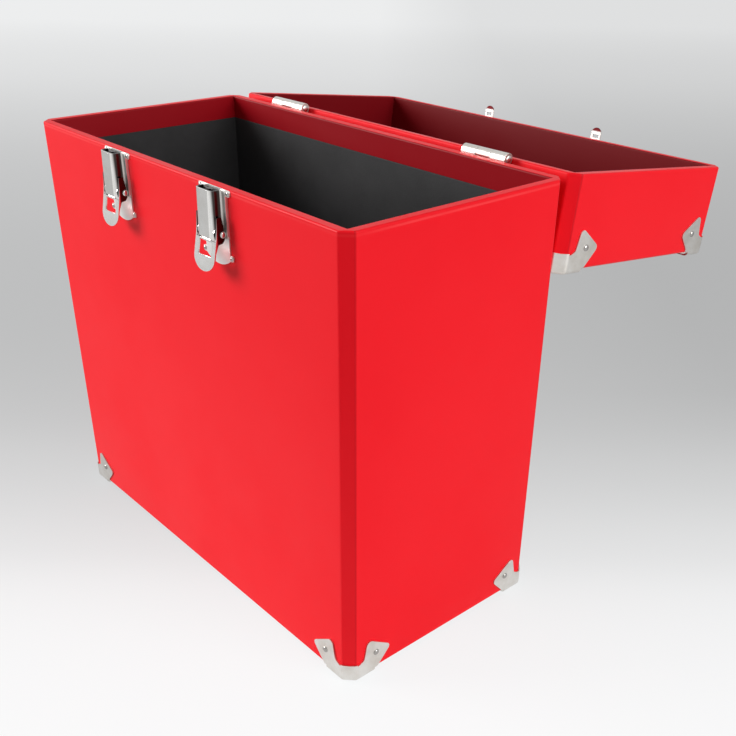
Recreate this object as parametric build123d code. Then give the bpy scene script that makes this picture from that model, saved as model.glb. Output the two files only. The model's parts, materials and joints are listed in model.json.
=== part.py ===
from build123d import *
import math
import os

# Record carrying case: a covered board box with a deep hinged lid, pressed metal corners, two
# spring latches and a swinging handle.  Millimetres.  X runs right along the front, Y to the
# back, Z up; the origin is on the floor under the middle of the body.  Drawn with the lid open.

# Boards and covering
CASE_WIDTH = 350.0
CASE_DEPTH = 171.2
BODY_HEIGHT = 298.7
LID_HEIGHT = 60.1
BOARD = 5.5
COVER = 0.6
LINING = 0.9
CORNER_CUT = 6.4
CORNER_SOFT = 2.5
EDGE_ROUND = 2.0
RIM_ROUND = 1.2
BOARD_EDGE_CUT = 0.8
BOARD_RIM_CUT = 0.3
BODY_TURN_IN = 16.8
LID_TURN_IN = LID_HEIGHT - BOARD - COVER - LINING

# Pressed corners
CORNER_SHEET = 0.9
FOOT_DROP = 2.5
FOOT_REACH = 22.0
FOOT_ROUND = 3.0
FOOT_WALL = 0.8
FOOT_WELL_INSET = 3.2
LEG_RIVET_ALONG = 23.0
LEG_RIVET_UP = 14.0
SOLE_RIVET = 26.0
CORNER_RIVET_HEAD = 2.2
CORNER_RIVET_RISE = 1.1
CORNER_RIVET_SHANK = 1.1
FOOT_CORNER_CUT = 4.0

# Every rivet head and shank is eight-sided, so that 52 of them stay light
RIVET_SIDES = 8
RIVET_TAPER = 40.0

# Butt hinges
HINGE_SPACING = 210.0
HINGE_LENGTH = 38.0
HINGE_KNUCKLES = 3
HINGE_LEAF_DROP = 22.0
HINGE_SHEET = 1.3
KNUCKLE_RADIUS = 3.8
KNUCKLE_GAP = 0.3
KNUCKLE_CLEARANCE = 0.45
HINGE_NOTCH_INSET = 0.4
HINGE_PIN_RADIUS = 2.4
HINGE_BORE_CLEARANCE = 0.08
AXIS_BEHIND = KNUCKLE_RADIUS + KNUCKLE_CLEARANCE
AXIS_ABOVE_RIM = 0.75
RIM_GAP = 0.3
LID_SWING = 187.1
LEAF_RIVET_HEAD = 2.4
LEAF_RIVET_RISE = 1.0
LEAF_RIVET_SHANK = 1.3

# Latches; every height below is taken from the body's rim, every reach from the front face
LATCH_SPACING = 114.9
LATCH_SHEET = 0.8
HOUSING_SHEET = 0.9
PLATE_HALF = 12.65
EAR_HALF = 16.0
PLATE_TOP = -0.36
EAR_HEIGHT = 3.6
LOWER_EAR_TOP = -38.2
PLATE_ARC_LOW = -46.1
HOUSING_HALF = 8.6
HOUSING_TOP = -0.76
HOUSING_LOW = -28.46
HOUSING_REACH_TOP = 8.6
HOUSING_REACH_LOW = 9.4
HOUSING_BEND = 3.6
PIVOT_REACH = 3.7
PIVOT_DROP = -25.66
PIVOT_EAR = 4.6
LATCH_PIN_RADIUS = 1.0
LATCH_BORE_CLEARANCE = 0.08
LATCH_PIN_HEAD = 2.0
LEVER_SHEET = 0.9
LEVER_SIDE_GAP = 1.3
LEVER_HALF = HOUSING_HALF + LEVER_SIDE_GAP + LEVER_SHEET
LEVER_TILT = 11.54
LEVER_REACH = 8.75
LEVER_LEVEL = -30.66
LEVER_TOP = 1.1
LEVER_STRAIGHT = 9.5
LEVER_END = 8.3
LEVER_WINDOW_WIDTH = 13.6
LEVER_WINDOW_LENGTH = 8.6
HOOK_SHEET = 0.75
HOOK_HALF = 4.3
TOOTH_HALF = 2.0
TOOTH_TOP = -0.86
TOOTH_LOW = -2.1
TOOTH_REACH = 6.1
LATCH_RIVET_HEAD = 1.4
LATCH_RIVET_RISE = 0.8
LATCH_RIVET_SHANK = 0.8
LATCH_RIVET_OUT = 14.2
SPRING_WIRE = 0.3
SPRING_RADIUS = 1.9
SPRING_TURNS = 4
SPRING_START = 3.6
SPRING_LEG_DOWN = 5.5
SPRING_LEG_UP = 9.0
SPRING_LEG = 0.25
SPRING_TIP = 3.42

# Keepers
KEEPER_SHEET = 0.9
KEEPER_WIDTH = 9.4
KEEPER_REACH = 5.25
KEEPER_DROP = 8.0
KEEPER_RISE = 19.0
KEEPER_WINDOW_WIDTH = 5.2
KEEPER_WINDOW_TOP = -0.2
KEEPER_WINDOW_LOW = -2.4
KEEPER_RIVET_HEAD = 1.9
KEEPER_RIVET_RISE = 0.9
KEEPER_RIVET_SHANK = 1.0

# Handle
HANDLE_SPACING = 110.0
HANDLE_PIVOT = 7.5
HANDLE_REACH = 30.0
HANDLE_CORE_WIDE = 9.0
HANDLE_CORE_DEEP = 8.0
HANDLE_CORE_CUT = 1.8
HANDLE_BEND = 12.0
HANDLE_EYE = 5.2
HANDLE_PIN_RADIUS = 2.0
HANDLE_BORE_CLEARANCE = 0.1
GRIP_LENGTH = 78.0
GRIP_RADIUS = 8.4
GRIP_END_RADIUS = 7.0
BRACKET_SHEET = 1.2
BRACKET_LENGTH = 36.0
BRACKET_WIDTH = 16.0
BRACKET_GAP = 0.3
BRACKET_RIVET_OUT = 13.2
BRACKET_RIVET_HEAD = 2.5
BRACKET_RIVET_RISE = 1.0
BRACKET_RIVET_SHANK = 1.3

WALL = BOARD + COVER
FRONT = -CASE_DEPTH / 2
BACK = CASE_DEPTH / 2
RIM = FOOT_DROP + BODY_HEIGHT
LID_RIM = RIM + RIM_GAP
LID_TOP = LID_RIM + LID_HEIGHT
AXIS_Y = BACK + AXIS_BEHIND
AXIS_Z = RIM + AXIS_ABOVE_RIM
HINGE_AXIS = Axis((0, AXIS_Y, AXIS_Z), (1, 0, 0))
HANDLE_AXIS = Axis((0, 0, LID_TOP + HANDLE_PIVOT), (1, 0, 0))
SIDE = Plane(origin=(0, FRONT, RIM), x_dir=(0, -1, 0), z_dir=(-1, 0, 0))
FACE = Plane(origin=(0, FRONT, RIM), x_dir=(1, 0, 0), z_dir=(0, -1, 0))


def outline(points, radii=0.0):
    """Closed outline through the points with each corner rounded by its radius."""
    return make_face(FilletPolyline(*points, radius=radii, close=True).edges())


def ribbon(points, sheet, bend):
    """Sheet strip of one thickness that follows a bent centre line."""
    left = []
    right = []
    half = sheet / 2
    for i, point in enumerate(points):
        before = points[max(i - 1, 0)]
        after = points[min(i + 1, len(points) - 1)]
        first = (Vector(*point) - Vector(*before)) if i > 0 else Vector(*after) - Vector(*point)
        second = (Vector(*after) - Vector(*point)) if i < len(points) - 1 else first
        first = first.normalized()
        second = second.normalized()
        normal = Vector(-first.Y - second.Y, first.X + second.X).normalized()
        reach = half / max(normal.dot(Vector(-first.Y, first.X)), 0.3)
        left.append((point[0] + normal.X * reach, point[1] + normal.Y * reach))
        right.append((point[0] - normal.X * reach, point[1] - normal.Y * reach))
    corners = left + right[::-1]
    radii = []
    for i in range(len(corners)):
        step = i % len(points)
        radii.append(0.0 if step in (0, len(points) - 1) else bend)
    return outline(corners, radii)


def bar(x, y, z, x_size, y_size, z_size):
    """Box given by its lowest corner and its sizes."""
    return Pos(x, y, z) * Box(x_size, y_size, z_size, align=(Align.MIN, Align.MIN, Align.MIN))


def case_outline(width, depth, cut, soft):
    """Rectangle with cut corners, the ends of each cut softened."""
    sketch = cut_rectangle(width, depth, cut)
    return fillet(sketch.vertices(), soft)


def level_edges(solid, level, half_x, half_y, inside=True):
    """Edges that lie at one height, inside or outside a centred rectangle."""
    found = []
    for edge in solid.edges():
        box = edge.bounding_box()
        flat = abs(box.min.Z - level) < 1e-4 and abs(box.max.Z - level) < 1e-4
        within = max(abs(box.min.X), abs(box.max.X)) < half_x + 0.01
        within = within and max(abs(box.min.Y), abs(box.max.Y)) < half_y + 0.01
        if flat and within == inside:
            found.append(edge)
    return found


def cut_rectangle(width, depth, cut):
    """Rectangle with cut corners."""
    sketch = Rectangle(width, depth)
    return chamfer(sketch.vertices(), cut)


def case_skin(height):
    """Outer form of a tray standing on z = 0, its lower and upper edges rounded."""
    skin = extrude(case_outline(CASE_WIDTH, CASE_DEPTH, CORNER_CUT, CORNER_SOFT), height)
    skin = fillet(level_edges(skin, 0, 0, 0, False), EDGE_ROUND)
    return fillet(level_edges(skin, height, 0, 0, False), RIM_ROUND)


def tray(height, turn_in):
    """Boards, cover and lining of a tray standing on z = 0 with its mouth upwards.

    The cover is turned in over the rim, and the lining takes over below it; a cover that is
    turned in to the floor leaves the lining as one sheet on the floor."""
    cut = CORNER_CUT - COVER * (2 - math.sqrt(2))
    sketch = cut_rectangle(CASE_WIDTH - 2 * COVER, CASE_DEPTH - 2 * COVER, cut)
    core = extrude(Pos(0, 0, COVER) * sketch, height - 2 * COVER)
    core = chamfer(level_edges(core, COVER, 0, 0, False), BOARD_EDGE_CUT)
    core = chamfer(level_edges(core, height - COVER, 0, 0, False), BOARD_RIM_CUT)
    bay_x = CASE_WIDTH - 2 * WALL
    bay_y = CASE_DEPTH - 2 * WALL
    walls = core - bar(-bay_x / 2, -bay_y / 2, 0, bay_x, bay_y, height)
    walls = chamfer(level_edges(walls, height - COVER, bay_x / 2, bay_y / 2), BOARD_RIM_CUT)
    mouth_x = bay_x - 2 * COVER
    mouth_y = bay_y - 2 * COVER
    cover = case_skin(height) - bar(-mouth_x / 2, -mouth_y / 2, COVER, mouth_x, mouth_y, height)
    cover = fillet(level_edges(cover, height, mouth_x / 2, mouth_y / 2), RIM_ROUND)
    cover = cover - walls
    cover = cover - bar(-bay_x / 2, -bay_y / 2, COVER, bay_x, bay_y, height - turn_in - COVER)
    front = walls & bar(-CASE_WIDTH, FRONT, 0, 2 * CASE_WIDTH, WALL, height)
    back = walls & bar(-CASE_WIDTH, BACK - WALL, 0, 2 * CASE_WIDTH, WALL, height)
    left = walls & bar(-CASE_WIDTH / 2, -bay_y / 2, 0, WALL, bay_y, height)
    right = walls & bar(CASE_WIDTH / 2 - WALL, -bay_y / 2, 0, WALL, bay_y, height)
    floor = bar(-bay_x / 2, -bay_y / 2, COVER, bay_x, bay_y, BOARD)
    top = height - turn_in
    lining = bar(-bay_x / 2, -bay_y / 2, WALL, bay_x, bay_y, top - WALL)
    if top - WALL > LINING + 0.01:
        hollow_x = bay_x - 2 * LINING
        hollow_y = bay_y - 2 * LINING
        lining = lining - bar(-hollow_x / 2, -hollow_y / 2, WALL + LINING, hollow_x, hollow_y, height)
    return {"front": front, "back": back, "left": left, "right": right, "floor": floor,
            "cover": cover, "lining": lining}


def rivet(head, rise, shank, length):
    """Rivet: a tapered head above z = 0 and its shank below, both eight-sided."""
    dome = extrude(RegularPolygon(head, RIVET_SIDES), rise, taper=RIVET_TAPER)
    return dome + extrude(RegularPolygon(shank, RIVET_SIDES), -length)


def spot(x, y, z, direction):
    """Place whose own z looks along the given direction."""
    return Plane(origin=(x, y, z), z_dir=direction).location


def corner_spots():
    """Rivet places on one front right tray corner, on the outside of its sheet."""
    side_x = CASE_WIDTH / 2 + CORNER_SHEET
    side_y = FRONT - CORNER_SHEET
    along_x = CASE_WIDTH / 2 - LEG_RIVET_ALONG
    along_y = FRONT + LEG_RIVET_ALONG
    sole_x = CASE_WIDTH / 2 - SOLE_RIVET
    sole_y = FRONT + SOLE_RIVET
    return [spot(along_x, side_y, LEG_RIVET_UP, (0, -1, 0)),
            spot(side_x, along_y, LEG_RIVET_UP, (1, 0, 0)),
            spot(sole_x, sole_y, -CORNER_SHEET, (0, 0, -1))]


def corner_shanks():
    """Shank bodies of one corner's rivets, for their holes."""
    shank = shank_body(CORNER_RIVET_SHANK, CORNER_SHEET + 1)
    return [place * shank for place in corner_spots()]


def corner_seat():
    """Flat-sided form just round the tray that the pressed corners sit on."""
    seat = extrude(cut_rectangle(CASE_WIDTH, CASE_DEPTH, CORNER_CUT), 60)
    return chamfer(level_edges(seat, 0, 0, 0, False), (2 - math.sqrt(2)) * EDGE_ROUND)


def corner_piece():
    """Pressed three-legged corner of the front right tray corner, with its rounded foot."""
    sheet = CORNER_SHEET
    cut = CORNER_CUT + sheet * (2 - math.sqrt(2))
    form = case_outline(CASE_WIDTH + 2 * sheet, CASE_DEPTH + 2 * sheet, cut, CORNER_SOFT + sheet)
    plate = extrude(Pos(0, 0, -sheet) * form, 40)
    plate = fillet(level_edges(plate, -sheet, 0, 0, False), EDGE_ROUND + sheet)
    cx = CASE_WIDTH / 2
    leg = [(-3, -4), (19.7, -4), (36.0, 14.0), (15.9, 27.5), (12.8, 12.4), (8.5, 10.4), (-3, 11.6)]
    leg_round = [0, 0, 3.0, 3.0, 2.5, 3.0, 0]
    front_points = [(cx - a, z) for a, z in leg]
    front_plane = Plane(origin=(0, FRONT - 3, 0), x_dir=(1, 0, 0), z_dir=(0, -1, 0))
    front = extrude(front_plane * outline(front_points, leg_round), -10)
    side_points = [(FRONT + a, z) for a, z in leg]
    side_plane = Plane(origin=(cx + 3, 0, 0), x_dir=(0, 1, 0), z_dir=(1, 0, 0))
    side = extrude(side_plane * outline(side_points, leg_round), -10)
    sole = [(-3, -3), (21.5, -3), (37.0, 23.5), (23.5, 37.0), (-3, 21.5)]
    sole_points = [(cx - a, FRONT + b) for a, b in sole]
    under = extrude(Pos(0, 0, -4) * outline(sole_points, [0, 0, 3.0, 3.0, 0]), 10)
    legs = (plate & front) + (plate & side) + (plate & under)
    reach = FOOT_REACH + 6
    square = Pos(cx - FOOT_REACH + reach / 2, FRONT + FOOT_REACH - reach / 2) * Rectangle(reach, reach)
    pan_form = form & square
    inner_corner = pan_form.vertices().sort_by_distance((cx - FOOT_REACH, FRONT + FOOT_REACH))[0]
    pan_form = chamfer(inner_corner, FOOT_CORNER_CUT)
    pan = extrude(Pos(0, 0, -FOOT_DROP) * pan_form, 9)
    outer_edges = []
    for edge in level_edges(pan, -FOOT_DROP, 0, 0, False):
        right = edge.center().X - cx
        fore = FRONT - edge.center().Y
        if right > 0 or fore > 0 or min(right, fore) > -CORNER_CUT:
            outer_edges.append(edge)
    pan = fillet(outer_edges, FOOT_ROUND)
    well_size = FOOT_REACH - 2 * FOOT_WELL_INSET
    well = bar(cx - FOOT_REACH + FOOT_WELL_INSET, FRONT + FOOT_WELL_INSET, FOOT_WALL - FOOT_DROP,
               well_size, well_size, 4)
    piece = legs + pan
    piece = piece - corner_seat()
    piece = piece - well
    for shank in corner_shanks():
        piece = piece - shank
    return piece


def four_corners(shape):
    """The shape at the front right, front left, back right and back left corners."""
    front_left = mirror(shape, Plane.YZ)
    back_right = mirror(shape, Plane.XZ)
    back_left = mirror(front_left, Plane.XZ)
    return [shape, front_left, back_right, back_left]


def hinge_leaf(x, own, up):
    """Sheet leaf curled into knuckles; own lists its knuckles, up is 1 for the lid."""
    pitch = HINGE_LENGTH / HINGE_KNUCKLES
    last = HINGE_KNUCKLES - 1
    level = RIM + AXIS_ABOVE_RIM
    base = level if up > 0 else RIM - HINGE_LEAF_DROP
    height = (LID_RIM + HINGE_LEAF_DROP - level) if up > 0 else (level - RIM + HINGE_LEAF_DROP)
    plate = bar(x - HINGE_LENGTH / 2, BACK, base, HINGE_LENGTH, HINGE_SHEET, height)
    far = base + height if up > 0 else base
    corners = []
    for edge in plate.edges().filter_by(Axis.Y):
        if abs(edge.center().Z - far) < 0.01:
            corners.append(edge)
    leaf = fillet(corners, 3.0)
    for i in range(HINGE_KNUCKLES):
        left = x - HINGE_LENGTH / 2 + i * pitch
        start = left + (KNUCKLE_GAP / 2 if i > 0 else 0)
        end = left + pitch - (KNUCKLE_GAP / 2 if i < last else 0)
        if i in own:
            roll = Rotation(0, 90, 0) * Cylinder(KNUCKLE_RADIUS, end - start)
            leaf = leaf + Pos((start + end) / 2, AXIS_Y, AXIS_Z) * roll
        else:
            notch_left = left - (KNUCKLE_GAP / 2 if i > 0 else 1)
            notch_wide = pitch + (KNUCKLE_GAP / 2 if i > 0 else 1) + (KNUCKLE_GAP / 2 if i < last else 1)
            notch = KNUCKLE_RADIUS - HINGE_NOTCH_INSET
            low = level - 1 if up > 0 else level - notch
            leaf = leaf - bar(notch_left, BACK - 1, low, notch_wide, HINGE_SHEET + 2, notch + 1)
    bore = HINGE_PIN_RADIUS + (HINGE_BORE_CLEARANCE if up > 0 else 0)
    hole = Rotation(0, 90, 0) * Cylinder(bore, HINGE_LENGTH + 4)
    leaf = leaf - Pos(x, AXIS_Y, AXIS_Z) * hole
    for place in leaf_spots(x, up):
        leaf = leaf - place * shank_body(LEAF_RIVET_SHANK, HINGE_SHEET + 1)
    return leaf


def leaf_spots(x, up):
    """Rivet places on one leaf, on the outside of its sheet."""
    level = LID_RIM if up > 0 else RIM
    sign = 1 if up > 0 else -1
    outside = BACK + HINGE_SHEET
    return [spot(x - 12.5, outside, level + sign * 9.0, (0, 1, 0)),
            spot(x + 12.5, outside, level + sign * 9.0, (0, 1, 0)),
            spot(x, outside, level + sign * 16.5, (0, 1, 0))]


def hinge_pin(x):
    """Hinge pin with softened ends."""
    pin = Rotation(0, 90, 0) * Cylinder(HINGE_PIN_RADIUS, HINGE_LENGTH + 1.6)
    ends = [edge for edge in pin.edges() if abs(edge.center().X) > 1]
    pin = chamfer(ends, 0.6)
    return Pos(x, AXIS_Y, AXIS_Z) * pin


def shank_body(radius, length):
    """Rivet shank from just above z = 0 down, for holes."""
    return extrude(Pos(0, 0, -length) * RegularPolygon(radius, RIVET_SIDES), length + 0.5)


def latch_rivet_spots(x):
    """Rivet places on the four ears of a latch plate."""
    places = []
    for side in (-1, 1):
        for level in (PLATE_TOP - EAR_HEIGHT / 2, LOWER_EAR_TOP - EAR_HEIGHT / 2):
            across = x + side * LATCH_RIVET_OUT
            places.append(spot(across, FRONT - LATCH_SHEET, RIM + level, (0, -1, 0)))
    return places


def latch_plate():
    """Back plate with four ears and a bowed lower edge, at x = 0."""
    low = LOWER_EAR_TOP - EAR_HEIGHT
    main = Pos(0, (PLATE_TOP + low) / 2) * Rectangle(2 * PLATE_HALF, PLATE_TOP - low)
    top_ear = Pos(0, PLATE_TOP - EAR_HEIGHT / 2) * RectangleRounded(2 * EAR_HALF, EAR_HEIGHT, 1.4)
    low_ear = Pos(0, low + EAR_HEIGHT / 2) * RectangleRounded(2 * EAR_HALF, EAR_HEIGHT, 1.4)
    arc = ThreePointArc((-PLATE_HALF, low), (0, PLATE_ARC_LOW), (PLATE_HALF, low))
    bow = make_face([arc, Line((PLATE_HALF, low), (-PLATE_HALF, low))])
    plate = extrude(FACE * (main + top_ear + low_ear + bow), LATCH_SHEET)
    for place in latch_rivet_spots(0):
        plate = plate - place * shank_body(LATCH_RIVET_SHANK, LATCH_SHEET + 1)
    return plate


def housing_form(half, inset, extra):
    """Solid of the raised part of the housing, shrunk by the inset, lengthened by extra."""
    back = LATCH_SHEET - extra
    top = HOUSING_TOP + extra
    low = HOUSING_LOW - extra
    lean = (HOUSING_REACH_LOW - HOUSING_REACH_TOP) / (HOUSING_TOP - HOUSING_LOW)
    out_top = HOUSING_REACH_TOP - inset - lean * extra
    out_low = HOUSING_REACH_LOW - inset + lean * extra
    profile = outline([(back, top), (out_top, top), (out_low, low), (back, low)])
    form = extrude(SIDE * profile, half, both=True)
    long_edges = []
    for edge in form.edges():
        if edge.length > 20 and edge.center().Y < FRONT - 6:
            long_edges.append(edge)
    return fillet(long_edges, max(HOUSING_BEND - inset, 1.0))


def latch_housing():
    """Pressed housing: web, two side walls with rounded pivot ears, two flanges, at x = 0."""
    outer = housing_form(HOUSING_HALF, 0, 0)
    ear = Pos(PIVOT_REACH, PIVOT_DROP) * Circle(PIVOT_EAR)
    keep = Pos(LATCH_SHEET + 10, PIVOT_DROP) * Rectangle(20, 20)
    outer = outer + extrude(SIDE * (ear & keep), HOUSING_HALF, both=True)
    flange_mid = (HOUSING_TOP + HOUSING_LOW) / 2
    flange_form = Pos(0, flange_mid) * RectangleRounded(2 * PLATE_HALF, HOUSING_TOP - HOUSING_LOW, 1.8)
    flange_plane = Plane(origin=(0, FRONT - LATCH_SHEET, RIM), x_dir=(1, 0, 0), z_dir=(0, -1, 0))
    outer = outer + extrude(flange_plane * flange_form, HOUSING_SHEET)
    shell = outer - housing_form(HOUSING_HALF - HOUSING_SHEET, HOUSING_SHEET, 6)
    hole = Rotation(0, 90, 0) * Cylinder(LATCH_PIN_RADIUS, 40)
    return shell - Pos(0, FRONT - PIVOT_REACH, RIM + PIVOT_DROP) * hole


def latch_pin():
    """Pivot pin with a rivet head at each end, at x = 0."""
    seat = LEVER_HALF + 0.3
    shaft = Rotation(0, 90, 0) * Cylinder(LATCH_PIN_RADIUS, 2 * seat + 0.2)
    head = rivet(LATCH_PIN_HEAD, 1.0, 0.5, 0.1)
    right = Plane(origin=(seat, 0, 0), z_dir=(1, 0, 0)).location * head
    left = Plane(origin=(-seat, 0, 0), z_dir=(-1, 0, 0)).location * head
    return Pos(0, FRONT - PIVOT_REACH, RIM + PIVOT_DROP) * (shaft + right + left)


def latch_lever():
    """Lever: windowed tongue, two side arms on the pivot and the toothed hook, at x = 0."""
    tilt = math.radians(LEVER_TILT)
    plane = Plane(origin=(0, FRONT - LEVER_REACH, RIM + LEVER_LEVEL), x_dir=(1, 0, 0),
                  z_dir=(0, -math.cos(tilt), math.sin(tilt)))
    middle = (LEVER_TOP - LEVER_STRAIGHT) / 2
    tongue = Pos(0, middle) * Rectangle(2 * LEVER_HALF, LEVER_TOP + LEVER_STRAIGHT)
    tongue = tongue + Pos(0, -LEVER_STRAIGHT) * Ellipse(LEVER_HALF, LEVER_END)
    window = RectangleRounded(LEVER_WINDOW_WIDTH, LEVER_WINDOW_LENGTH, 1.0)
    tongue = tongue - Pos(0, -LEVER_WINDOW_LENGTH / 2) * window
    lever = extrude(plane * tongue, -LEVER_SHEET)
    slope = math.tan(tilt)
    fore = LEVER_REACH + slope * 6.0
    arm = [(3.8, -15.66), (7.1, -15.66), (7.5, -22.06), (8.18, -27.86),
           (fore, LEVER_LEVEL - 6.0), (fore - 0.92, LEVER_LEVEL - 6.0), (6.9, -31.3),
           (3.9, -30.9), (2.35, -28.7), (2.35, -23.5)]
    arm_round = [0, 0, 0, 0, 0, 0, 1.2, 1.4, 1.2, 0]
    flat = extrude(SIDE * outline(arm, arm_round), LEVER_HALF, both=True)
    inside = LEVER_HALF - LEVER_SHEET
    flat = flat - bar(-inside, FRONT - 30, RIM - 60, 2 * inside, 60, 60)
    lever = lever + flat
    path = [(8.2, -30.2), (7.0, -27.7), (6.4, -23.7), (4.08, -17.5), (4.08, TOOTH_TOP)]
    lever = lever + extrude(SIDE * ribbon(path, HOOK_SHEET, 0.8), HOOK_HALF, both=True)
    tooth = outline([(4.2, TOOTH_TOP), (4.2, TOOTH_LOW), (TOOTH_REACH, TOOTH_LOW),
                     (TOOTH_REACH, TOOTH_LOW + 0.3), (4.9, TOOTH_TOP)])
    lever = lever + extrude(SIDE * tooth, TOOTH_HALF, both=True)
    bore = Rotation(0, 90, 0) * Cylinder(LATCH_PIN_RADIUS + LATCH_BORE_CLEARANCE, 40)
    return lever - Pos(0, FRONT - PIVOT_REACH, RIM + PIVOT_DROP) * bore


def latch_spring():
    """Close-wound torsion spring round the pivot, one leg down, one behind the hook, at x = 0."""
    inner = SPRING_RADIUS - SPRING_WIRE
    outer = SPRING_RADIUS + SPRING_WIRE
    valley = SPRING_RADIUS + SPRING_WIRE / 3
    points = [(inner, 0)]
    for turn in range(SPRING_TURNS):
        start = turn * 2 * SPRING_WIRE
        points.append((valley, start))
        points.append((outer, start + SPRING_WIRE))
    points.append((valley, SPRING_TURNS * 2 * SPRING_WIRE))
    points.append((inner, SPRING_TURNS * 2 * SPRING_WIRE))
    profile = Plane.XZ * make_face(Polyline(*points, close=True))
    coil = Rotation(0, 90, 0) * revolve(profile, Axis.Z)
    centre_y = FRONT - PIVOT_REACH
    centre_z = RIM + PIVOT_DROP
    coil = Pos(SPRING_START, centre_y, centre_z) * coil
    back = centre_y + SPRING_RADIUS
    low_x = SPRING_START + SPRING_WIRE
    high_x = SPRING_START + (2 * SPRING_TURNS - 1) * SPRING_WIRE
    down = wire((high_x, back, centre_z), (high_x, back, centre_z - SPRING_LEG_DOWN))
    up = wire((low_x, back, centre_z), (low_x, FRONT - SPRING_TIP, centre_z + SPRING_LEG_UP))
    return coil + down + up


def wire(start, end):
    """Straight end of the spring between two points, a little thinner than its coil."""
    run = Vector(*end) - Vector(*start)
    stick = extrude(RegularPolygon(SPRING_LEG, 6), run.length)
    return Plane(origin=start, z_dir=run.normalized()).location * stick


def keeper_spots(x):
    """Rivet places on one keeper."""
    level = LID_RIM
    return [spot(x, FRONT - KEEPER_SHEET, level + 9.0, (0, -1, 0)),
            spot(x, FRONT - KEEPER_SHEET, level + 15.5, (0, -1, 0))]


def keeper():
    """Cranked keeper strap with its window, at x = 0, lid closed."""
    half = KEEPER_SHEET / 2
    path = [(half, RIM_GAP + KEEPER_RISE), (half, RIM_GAP + 5.0),
            (KEEPER_REACH, RIM_GAP + 1.1), (KEEPER_REACH, RIM_GAP - KEEPER_DROP)]
    strap = extrude(SIDE * ribbon(path, KEEPER_SHEET, 0.9), KEEPER_WIDTH / 2, both=True)
    low = RIM_GAP - KEEPER_DROP
    top = RIM_GAP + KEEPER_RISE
    mask = Pos(0, (low + top) / 2) * RectangleRounded(KEEPER_WIDTH, top - low, KEEPER_WIDTH / 2 - 0.05)
    mask = mask + Pos(0, (low + top) / 2 + 3) * RectangleRounded(KEEPER_WIDTH, top - low - 6, 2.0)
    strap = strap & extrude(FACE * mask, 12)
    window_mid = (KEEPER_WINDOW_TOP + KEEPER_WINDOW_LOW) / 2
    window_tall = KEEPER_WINDOW_TOP - KEEPER_WINDOW_LOW
    window = Pos(0, window_mid) * Rectangle(KEEPER_WINDOW_WIDTH, window_tall)
    strap = strap - extrude(FACE * window, 12)
    for place in keeper_spots(0):
        strap = strap - place * shank_body(KEEPER_RIVET_SHANK, KEEPER_SHEET + 1)
    return strap


def handle_core():
    """Bail of the handle standing up from its pivots, lid closed."""
    half = HANDLE_SPACING / 2
    base = LID_TOP + HANDLE_PIVOT
    top = base + HANDLE_REACH
    section = cut_rectangle(HANDLE_CORE_WIDE, HANDLE_CORE_DEEP, HANDLE_CORE_CUT)
    core = None
    for side in (-1, 1):
        leg = extrude(Pos(side * half, 0, base) * section, HANDLE_REACH - HANDLE_BEND)
        centre = side * (half - HANDLE_BEND)
        turn = Axis((centre, 0, top - HANDLE_BEND), (0, side, 0))
        bend = revolve(Pos(side * half, 0, top - HANDLE_BEND) * section, turn, -90)
        core = leg + bend if core is None else core + leg + bend
    cross = Plane(origin=(HANDLE_BEND - half, 0, top), x_dir=(0, 0, 1), z_dir=(1, 0, 0))
    core = core + extrude(cross * section, HANDLE_SPACING - 2 * HANDLE_BEND)
    eye = Rotation(0, 90, 0) * Cylinder(HANDLE_EYE, HANDLE_CORE_WIDE)
    bore = Rotation(0, 90, 0) * Cylinder(HANDLE_PIN_RADIUS + HANDLE_BORE_CLEARANCE, 20)
    for side in (-1, 1):
        core = core + Pos(side * half, 0, base) * eye
    for side in (-1, 1):
        core = core - Pos(side * half, 0, base) * bore
    return core


def handle_grip():
    """Moulded sleeve round the middle of the bail, swelling towards the palm."""
    level = LID_TOP + HANDLE_PIVOT + HANDLE_REACH
    half = GRIP_LENGTH / 2
    swell = ThreePointArc((GRIP_END_RADIUS, -half), (GRIP_RADIUS, 0), (GRIP_END_RADIUS, half))
    lines = [swell, Line((GRIP_END_RADIUS, half), (0, half)), Line((0, half), (0, -half)),
             Line((0, -half), (GRIP_END_RADIUS, -half))]
    sleeve = revolve(make_face(lines), Axis.Y)
    ends = [edge for edge in sleeve.edges() if abs(edge.center().Y) > half - 0.01]
    sleeve = Rotation(0, 0, 90) * chamfer(ends, 1.2)
    tunnel_plane = Plane(origin=(-60, 0, 0), x_dir=(0, 0, 1), z_dir=(1, 0, 0))
    section = cut_rectangle(HANDLE_CORE_WIDE, HANDLE_CORE_DEEP, HANDLE_CORE_CUT)
    tunnel = extrude(tunnel_plane * section, 120)
    return Pos(0, 0, level) * (sleeve - tunnel)


def bracket_spots(x):
    """Rivet places at the two ends of a handle bracket."""
    level = LID_TOP + BRACKET_SHEET
    return [spot(x - BRACKET_RIVET_OUT, 0, level, (0, 0, 1)),
            spot(x + BRACKET_RIVET_OUT, 0, level, (0, 0, 1))]


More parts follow.
